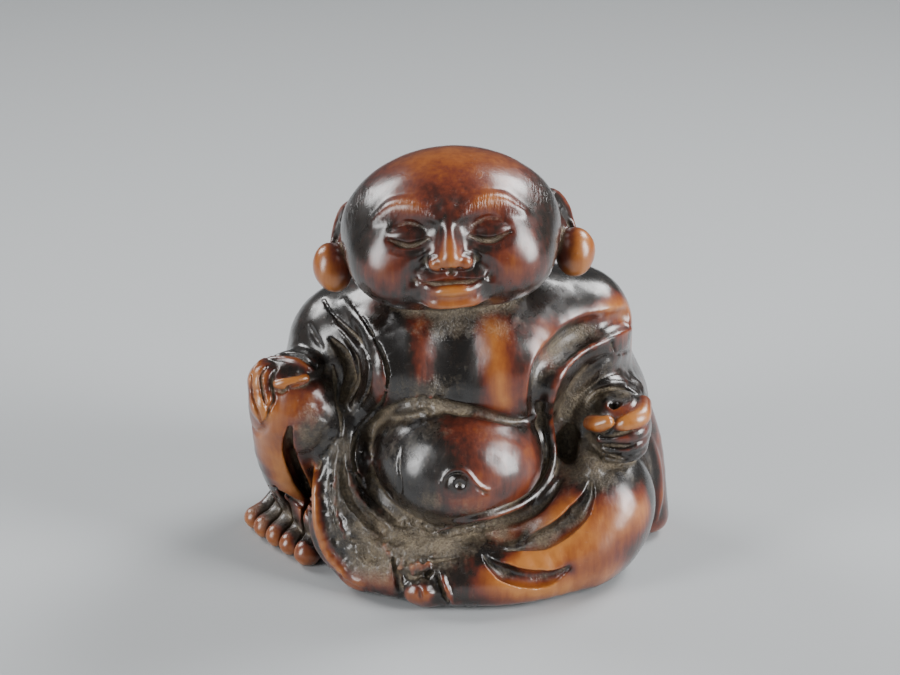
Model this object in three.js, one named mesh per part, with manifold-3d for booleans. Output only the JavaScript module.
// A netsuke: a stout seated figure with a bare belly, carved from one block of dark wood.
// It sits with its right knee up, its left leg folded under the robe and a hand on each knee.
// Millimetres, +Z up. The figure looks along -Y, and the origin is under its middle, on the
// surface that it stands on.
import * as THREE from "three";
import { mergeVertices } from "three/addons/utils/BufferGeometryUtils.js";
import Module from "manifold-3d";

const wasm = await Module();
wasm.setup();

// Driving sizes

const height = 34; // crown to underside
const cordHoleLarge = 3.4; // diameter of the hole that takes the cord's knot
const cordHoleSmall = 2.8; // diameter of the hole that the cord leaves by
const cordHoleSpacing = 9; // between the two mouths on the back
const cordHoleRise = 8.5; // height of the two mouths above the underside
const cordHoleDepth = 5; // how deep under the back the two holes meet
const fistBore = 1.5; // diameter of the bore down through the left fist
const strokeDepth = 0.3; // depth of the strokes cut into the underside
const strokeWidth = 0.7; // width of those strokes

// The block is laid out on a carver's grid of 34 squares to its height, like a drawing squared up
// for carving. Every place and radius of the figure below is in those squares.
const square = height / 34;
const blockMiddle = [0.13, -0.82]; // where the middle of the finished block falls on the grid
const upright = [0, 0, 1];

// Solids from three.js geometry

const finest = 0.01; // edges shorter than this are closed up when solids are joined or cut

function solidFrom(geometry) {
  geometry.deleteAttribute("normal");
  geometry.deleteAttribute("uv");
  const merged = mergeVertices(geometry, 1e-4);
  return new wasm.Manifold(
    new wasm.Mesh({
      numProp: 3,
      vertProperties: merged.attributes.position.array,
      triVerts: new Uint32Array(merged.index.array),
      tolerance: finest,
    }),
  );
}

function joined(...solids) {
  return solids.flat().reduce((whole, next) => whole.add(next));
}

function carved(solid, ...tools) {
  return solid.subtract(joined(...tools));
}

// A rounded mass: an ellipsoid at a place on the grid, turned in degrees about X, then Y, then Z.
function mass(place, radii, { turn = [0, 0, 0], detail = 12, frame = new THREE.Matrix4() } = {}) {
  const geometry = new THREE.SphereGeometry(1, detail, Math.ceil(detail * 0.55));
  const angles = new THREE.Euler(...turn.map(THREE.MathUtils.degToRad), "ZYX");
  geometry.rotateX(Math.PI / 2);
  geometry.scale(...radii);
  geometry.applyMatrix4(new THREE.Matrix4().makeRotationFromEuler(angles));
  geometry.translate(...place);
  geometry.applyMatrix4(frame);
  geometry.scale(square, square, square);
  return solidFrom(geometry);
}

// A tapered round-ended bar bent along a smooth curve: a limb, a finger, a fold, or the gouge that
// cuts one. `flat` thins it in the direction `across`. The radii are spread evenly along it.
function bar(places, radii, { flat = 1, across = upright, sides = 5, steps = 4, frame } = {}) {
  const curve = new THREE.CatmullRomCurve3(places.map((place) => new THREE.Vector3(...place)));
  const length = curve.getLength();
  const firstRadius = radii[0];
  const lastRadius = radii[radii.length - 1];
  const radiusAt = (share) => {
    const at = share * (radii.length - 1);
    const low = Math.min(Math.floor(at), radii.length - 2);
    return THREE.MathUtils.lerp(radii[low], radii[low + 1], at - low);
  };
  const capAngles = [0, 0.5, 1].map((share) => (share * Math.PI) / 2);
  const startCap = capAngles.map((angle) => [Math.sin(angle), -Math.cos(angle) * firstRadius, firstRadius]);
  const endCap = capAngles.map(
    (angle) => [Math.sin(angle), length + Math.cos(angle) * lastRadius, lastRadius],
  );
  const profile = startCap.map(([share, along, radius]) => new THREE.Vector2(share * radius, along));
  for (let i = 1; i < steps; i++) profile.push(new THREE.Vector2(radiusAt(i / steps), (i / steps) * length));
  profile.push(...endCap.reverse().map(([share, along, radius]) => new THREE.Vector2(share * radius, along)));

  const geometry = new THREE.LatheGeometry(profile, sides);
  const position = geometry.attributes.position;
  const wanted = new THREE.Vector3(...across);
  const vertex = new THREE.Vector3();
  const wide = new THREE.Vector3();
  for (let i = 0; i < position.count; i++) {
    vertex.fromBufferAttribute(position, i);
    const share = THREE.MathUtils.clamp(vertex.y / length, 0, 1);
    const tangent = curve.getTangentAt(share);
    const thick = wanted.clone().addScaledVector(tangent, -wanted.dot(tangent)).normalize();
    wide.crossVectors(thick, tangent);
    const placed = curve
      .getPointAt(share)
      .addScaledVector(tangent, vertex.y - share * length)
      .addScaledVector(wide, vertex.z)
      .addScaledVector(thick, vertex.x * flat);
    position.setXYZ(i, placed.x, placed.y, placed.z);
  }
  if (frame) geometry.applyMatrix4(frame);
  geometry.scale(square, square, square);
  return solidFrom(geometry);
}

const mirrored = ([x, y, z]) => [-x, y, z];
const bothSides = (make) => [make((place) => place, 1), make(mirrored, -1)];

// The block under the carving: seat, back, shoulders and chest

function torso() {
  return joined(
    mass([0.2, 1.0, 3.6], [13.9, 10.2, 8.2], { detail: 18 }), // the seat, spread on the ground
    mass([0.2, 2.2, 8.0], [12.7, 9.1, 7.0], { detail: 16 }), // the waist, full under the robe
    mass([0.2, 2.6, 12.6], [11.9, 8.6, 9.8], { detail: 16 }), // the robed back
    mass([-8.5, 1.0, 15.8], [4.6, 4.8, 5.1]), // right shoulder
    mass([8.6, 1.3, 16.7], [4.6, 5.2, 5.2]), // left shoulder
    mass([0.6, -1.2, 16.4], [8.2, 6.9, 6.2], { detail: 14 }), // chest
    mass([-3.0, -4.6, 17.2], [3.7, 3.2, 4.0], { turn: [14, 0, 0] }), // right breast
    mass([4.2, -4.8, 17.0], [3.6, 3.3, 4.3], { turn: [14, 0, 0] }), // left breast
    mass([0.1, 0.6, 21.6], [5.4, 4.6, 3.2]), // neck
  );
}

function belly() {
  const ball = mass([0.1, -5.2, 10.1], [6.7, 6.9, 5.4], { detail: 18 });
  const navel = mass([0.2, -12.1, 10.5], [0.6, 0.8, 0.6], { detail: 8 });
  return carved(ball, navel);
}

// The head, tilted back and a little to its right, carved in an upright frame of its own

const headFrame = new THREE.Matrix4().makeRotationFromEuler(
  new THREE.Euler(THREE.MathUtils.degToRad(-20), THREE.MathUtils.degToRad(-4), 0, "ZYX"),
);
headFrame.setPosition(-0.5, -3.0, 27.9);

function head() {
  const frame = headFrame;
  const solid = joined(
    mass([0, 0, 0], [8.3, 7.2, 6.2], { detail: 18, frame }), // skull
    bothSides((side) => mass(side([3.9, -2.7, -2.1]), [4.0, 4.0, 3.5], { frame })), // cheeks
    mass([0, -5.2, -4.9], [2.3, 1.7, 1.2], { detail: 8, frame }), // chin
  );
  const sockets = bothSides((side) =>
    bar([side([1.5, -7.6, 0.2]), side([3.1, -7.5, 0.5]), side([5.0, -6.2, 0.0])], [0.5, 0.9, 0.5], { frame }),
  );
  return joined(carved(solid, ...sockets), face(), ears());
}

function face() {
  const frame = headFrame;
  const brows = bothSides((side) =>
    bar(
      [side([0.9, -7.1, 1.2]), side([3.2, -6.6, 2.2]), side([5.7, -5.0, 1.4])],
      [0.35, 0.55, 0.3], { steps: 3, frame },
    ),
  );
  const lids = bothSides((side) => mass(side([3.1, -6.1, 0.1]), [1.5, 0.9, 0.75], { detail: 8, frame }));
  const nose = [
    bar([[0, -6.8, 1.1], [0, -7.6, -0.9], [0, -8.0, -2.0]], [0.5, 0.7, 0.95], { frame }),
    bothSides((side) => mass(side([1.0, -7.3, -2.2]), [0.7, 0.8, 0.6], { detail: 6, frame })),
  ];
  const lips = [
    bar([[-2.2, -6.3, -3.5], [0, -7.2, -3.75], [2.2, -6.3, -3.5]], [0.25, 0.45, 0.25], { steps: 2, frame }),
    bar([[-1.8, -6.2, -3.8], [0, -6.8, -4.45], [1.8, -6.2, -3.8]], [0.25, 0.5, 0.25], { steps: 2, frame }),
  ];
  return joined(brows, lids, nose.flat(), lips);
}

function ears() {
  const frame = headFrame;
  return bothSides((side) =>
    joined(
      bar([side([7.0, 2.8, 2.0]), side([7.3, 3.2, 0.2]), side([9.0, 2.0, -2.6])], [0.7, 1.0, 0.9], {
        across: [1, 0, 0],
        flat: 0.7,
        frame,
      }),
      mass(side([9.5, 1.7, -2.7]), [1.4, 1.6, 2.1], { detail: 10, frame }), // lobe
    ),
  );
}

// Arms in their wide sleeves

function rightArm() {
  return joined(
    bar(
      [[-8.6, 1.4, 15.6], [-10.9, 3.0, 12.6], [-11.2, 3.0, 11.4]],
      [4.4, 3.8, 3.4], { sides: 10, steps: 3 },
    ),
    bar(
      [[-11.2, 3.0, 12.4], [-11.4, -0.4, 14.6], [-11.9, -2.2, 15.6]],
      [3.2, 2.7, 1.7], { sides: 8, steps: 3 },
    ),
    mass([-10.4, 3.4, 7.0], [4.0, 4.2, 6.6]), // the sleeve under the elbow
  );
}

function leftArm() {
  return joined(
    bar([[8.7, 1.4, 16.4], [10.9, 3.0, 13.4], [11.6, 3.4, 11.0]], [4.4, 3.6, 3.4], { sides: 10, steps: 3 }),
    bar([[11.6, 3.2, 11.4], [12.0, 0.0, 12.0], [12.3, -2.6, 12.0]], [3.4, 3.0, 2.6], { sides: 8, steps: 3 }),
    mass([11.2, 1.6, 7.4], [4.2, 4.4, 6.4]), // the sleeve under the forearm
    bar(
      [[13.4, -1.0, 13.0], [14.4, 0.4, 8.0], [14.9, 0.6, 1.5]],
      [1.2, 1.7, 1.9], { sides: 8 },
    ), // its hanging edge
    bar(
      [[9.8, -3.4, 13.0], [11.4, -4.0, 14.6], [13.2, -3.9, 14.7], [14.5, -2.6, 13.2]],
      [0.35, 0.6, 0.6, 0.5],
    ), // cuff
  );
}

// Hands: the right one hangs over the knee, the left one is a fist

function rightHand() {
  const palm = mass([-12.9, -3.4, 16.3], [2.7, 2.3, 1.3], { turn: [-8, -16, 0] });
  const fingers = [0, 1, 2, 3].map((n) =>
    bar(
      [
        [-15.3 + n * 0.75, -3.9 - n * 0.55, 16.2], [-15.6 + n * 0.6, -5.0 - n * 0.7, 14.6],
        [-15.0 + n * 0.55, -5.6 - n * 0.5, 12.7],
      ],
      [0.55, 0.6, 0.5], { steps: 2 },
    ),
  );
  const thumb = bar(
    [[-11.2, -5.2, 15.9], [-12.4, -6.2, 15.7], [-13.2, -6.8, 15.3]],
    [0.6, 0.6, 0.5], { steps: 2 },
  );
  return joined(palm, ...fingers, thumb);
}

function leftHand() {
  const fingerDrop = 1.05;
  const palm = mass([12.8, -4.4, 11.5], [2.5, 2.3, 2.8]);
  const fingers = [0, 1, 2, 3].map((n) => {
    const z = 13.0 - n * fingerDrop;
    return bar(
      [[14.9, -4.6, z], [14.1, -6.2, z], [12.5, -6.8, z - 0.4], [11.0, -6.1, z - 0.1]],
      [0.6, 0.7, 0.7, 0.5], { steps: 3 },
    );
  });
  const thumb = bar(
    [[10.8, -5.0, 13.6], [11.0, -6.2, 13.0], [11.6, -6.9, 12.5]],
    [0.6, 0.6, 0.5], { steps: 2 },
  );
  const boreRadius = fistBore / 2 / square;
  const bore = bar(
    [[12.5, -5.3, 12.0], [12.4, -5.3, 16.5]],
    [boreRadius, boreRadius], { across: [0, 1, 0], sides: 10 },
  );
  return carved(joined(palm, ...fingers, thumb), bore);
}

// The raised right leg, with its foot set flat, and the folded left leg

const toeCount = 5;
const greatToe = [-11.0, -5.4];
const littleToe = [-16.1, 0.2];
const toeDirection = [-0.62, -0.78];

function rightLeg() {
  const thigh = bar(
    [[-5.5, 1.5, 6.5], [-9.0, -1.8, 10.4], [-11.4, -3.4, 12.6]],
    [4.2, 3.9, 3.3], { sides: 10, steps: 3 },
  );
  const knee = mass([-12.3, -3.4, 13.4], [3.2, 3.3, 3.3]);
  const shin = bar(
    [[-12.6, -3.4, 13.4], [-12.9, -2.6, 8.2], [-13.1, -0.4, 3.2]],
    [3.1, 2.7, 2.1], { sides: 10 },
  );
  const hollow = bar(
    [[-12.9, -7.2, 12.2], [-12.5, -5.8, 8.6], [-11.8, -5.2, 6.0], [-10.9, -4.6, 3.8]],
    [0.25, 0.75, 0.75, 0.3],
  );
  return joined(carved(joined(thigh, knee, shin), hollow), foot());
}

function foot() {
  const toes = [];
  for (let n = 0; n < toeCount; n++) {
    const share = n / (toeCount - 1);
    const x = THREE.MathUtils.lerp(greatToe[0], littleToe[0], share);
    const y = THREE.MathUtils.lerp(greatToe[1], littleToe[1], share);
    const radius = THREE.MathUtils.lerp(0.95, 0.75, share);
    const back = (squares) => [x - toeDirection[0] * squares, y - toeDirection[1] * squares];
    const along = [[...back(0.7), 0.7], [...back(2.2), 1.1], [...back(4.6), 2.3]];
    toes.push(bar(along, [radius, radius, 0.9], { sides: 6, steps: 2 }));
  }
  const sole = bar([[-12.4, -1.0, 0.6], [-11.2, 1.8, 1.2]], [2.8, 2.4], { flat: 0.45, sides: 10, steps: 2 });
  return joined(...toes, sole);
}

function leftLeg() {
  const bulge = mass([8.5, -4.6, 3.8], [6.3, 6.2, 5.2], { detail: 16 });
  const hem = bar([[-0.6, -10.4, 1.6], [4.4, -10.2, 2.2], [9.0, -7.6, 3.0]], [2.2, 2.5, 3.4], { sides: 10 });
  const gougeAbove = bar(
    [[10.4, -7.4, 8.8], [9.8, -9.0, 7.3], [7.4, -10.5, 5.4], [3.8, -11.5, 4.1]],
    [0.15, 0.8, 0.9, 0.3],
  );
  const gougeBelow = bar(
    [[1.6, -11.5, 4.4], [3.2, -12.0, 3.2], [6.2, -11.9, 2.5], [8.7, -10.6, 3.6]],
    [0.2, 0.7, 0.7, 0.1],
  );
  return carved(joined(bulge, hem), gougeAbove, gougeBelow);
}

// The robe: its lap, the panel that hangs by the raised knee, the two collar edges and the folds

function robeFront() {
  return joined(
    mass([-1.0, -7.6, 2.0], [8.0, 4.4, 3.6], { detail: 14 }), // lap
    bar(
      [[-8.2, -5.2, 9.8], [-8.8, -6.6, 5.4], [-6.6, -7.8, 1.4]],
      [1.9, 2.6, 2.4], { sides: 10 },
    ), // hanging panel
    bar(
      [[-9.4, -6.0, 9.6], [-10.6, -6.7, 6.2], [-10.0, -7.6, 3.0], [-7.4, -9.2, 0.8]],
      [0.6, 1.1, 1.0, 0.7],
    ), // its edge
    bar([[-8.0, -7.0, 10.4], [-8.2, -8.9, 6.2], [-6.8, -10.0, 2.6]], [0.4, 0.8, 0.6]), // its middle fold
    mass([-2.3, -11.0, 1.0], [1.6, 1.5, 1.5], { detail: 10 }), // rolled end of the robe
  );
}

function collar() {
  const right = bar(
    [
      [-6.6, 0.4, 21.4], [-6.0, -3.2, 19.6], [-5.2, -6.4, 17.8], [-5.6, -6.4, 14.6],
      [-7.0, -6.6, 11.6], [-7.4, -8.4, 8.6], [-6.4, -9.6, 5.4], [-3.6, -10.9, 3.2],
    ],
    [0.6, 0.9, 0.9, 0.8, 0.7, 0.7, 0.6, 0.4],
    { steps: 10 },
  );
  const left = bar(
    [
      [13.2, 1.2, 18.6], [10.9, -3.4, 18.2], [8.6, -5.2, 17.2], [7.4, -6.4, 14.6],
      [7.2, -6.8, 11.6], [7.5, -7.2, 9.0], [6.4, -9.0, 6.6], [2.6, -10.8, 4.9], [-1.6, -11.2, 3.6],
    ],
    [0.5, 0.7, 0.8, 0.8, 0.8, 0.7, 0.7, 0.6, 0.4],
    { steps: 11 },
  );
  return joined(right, left);
}

function gouges() {
  return [
    bar([[-10.3, -3.6, 18.4], [-8.6, -5.0, 15.8], [-8.7, -5.4, 13.0]], [0.2, 0.5, 0.2]), // right sleeve
    mass([10.2, -5.2, 11.4], [1.3, 2.6, 2.8], { detail: 12 }), // hollow beside the left fist
    bar([[-9.5, 9.0, 17.5], [-5.5, 11.6, 12.0], [-7.0, 12.2, 4.5]], [0.2, 0.7, 0.4]), // folds down the back
    bar([[9.5, 9.0, 18.0], [7.0, 11.8, 11.5], [8.5, 11.8, 4.0]], [0.2, 0.7, 0.4]),
    bar([[0.5, 10.6, 18.5], [1.5, 12.0, 13.0], [0.2, 12.2, 5.0]], [0.2, 0.5, 0.3]),
  ];
}

// Two slanted holes for the cord, which meet inside the back

function cordHoles() {
  const backFace = 11.4 * square;
  const meeting = [0.4 * square, backFace - cordHoleDepth, cordHoleRise];
  return [
    [-1, cordHoleLarge],
    [1, cordHoleSmall],
  ].map(([side, diameter]) => {
    const mouth = [meeting[0] + (side * cordHoleSpacing) / 2, backFace, cordHoleRise];
    const outside = mouth.map((value, axis) => value + (value - meeting[axis]) * 0.6);
    const radius = diameter / 2 / square;
    const onGrid = (place) => place.map((value) => value / square);
    return bar([onGrid(meeting), onGrid(outside)], [radius, radius], { sides: 14, steps: 2 });
  });
}

// The flat underside, with two rows of shallow strokes where a carver signs

function strokes() {
  const columns = [
    { x: 3.2, from: 5.5, to: -4.5, count: 7 },
    { x: -2.2, from: 0.5, to: -5.5, count: 4 },
  ];
  const radius = strokeWidth / 2;
  const made = [];
  for (const { x, from, to, count } of columns) {
    for (let n = 0; n < count; n++) {
      const y = THREE.MathUtils.lerp(from, to, n / (count - 1));
      const slant = n % 2 ? 35 : -20;
      const halfLength = n % 3 ? 0.9 : 1.4;
      const stroke = new THREE.CapsuleGeometry(radius, halfLength * 2 * square, 1, 6);
      stroke.scale(1, 1, strokeDepth / radius);
      stroke.rotateZ(THREE.MathUtils.degToRad(90 + slant));
      stroke.translate(x * square, y * square, 0);
      made.push(solidFrom(stroke));
    }
  }
  return made;
}

function groundBlock() {
  const size = height * 2;
  const block = new THREE.BoxGeometry(size, size, size);
  block.translate(0, 0, -size / 2);
  return solidFrom(block);
}

// Where crossing forms shut in a speck of air, the wood is solid: only the largest skin is kept.
function outerSkin(positions, corners) {
  const owner = Array.from({ length: positions.length / 3 }, (_, i) => i);
  const find = (i) => {
    while (owner[i] !== i) i = owner[i] = owner[owner[i]];
    return i;
  };
  for (let i = 0; i < corners.length; i += 3) {
    owner[find(corners[i + 1])] = find(corners[i]);
    owner[find(corners[i + 2])] = find(corners[i]);
  }
  const skins = new Map();
  for (let i = 0; i < corners.length; i += 3) {
    const skin = find(corners[i]);
    if (!skins.has(skin)) skins.set(skin, []);
    skins.get(skin).push(corners[i], corners[i + 1], corners[i + 2]);
  }
  return [...skins.values()].sort((a, b) => b.length - a.length)[0];
}

// The carved figure

function figure() {
  const forms = [torso(), belly(), rightArm(), leftArm(), leftLeg(), robeFront(), collar()];
  const body = carved(joined(...forms), ...gouges());
  const whole = joined(body, rightLeg(), leftHand(), rightHand(), head());
  const solid = carved(whole, groundBlock(), ...cordHoles(), ...strokes());
  const mesh = solid.getMesh();
  const geometry = new THREE.BufferGeometry();
  geometry.setAttribute("position", new THREE.BufferAttribute(mesh.vertProperties, 3));
  geometry.setIndex(outerSkin(mesh.vertProperties, mesh.triVerts));
  geometry.computeVertexNormals();
  return geometry;
}

const wood = new THREE.MeshStandardMaterial({ color: 0x4a2414, roughness: 0.3, metalness: 0 });
const carving = new THREE.Mesh(figure(), wood);
carving.name = "seated_figure";
carving.position.set(-blockMiddle[0] * square, -blockMiddle[1] * square, 0);

const netsuke = new THREE.Group();
netsuke.add(carving);

export default netsuke;
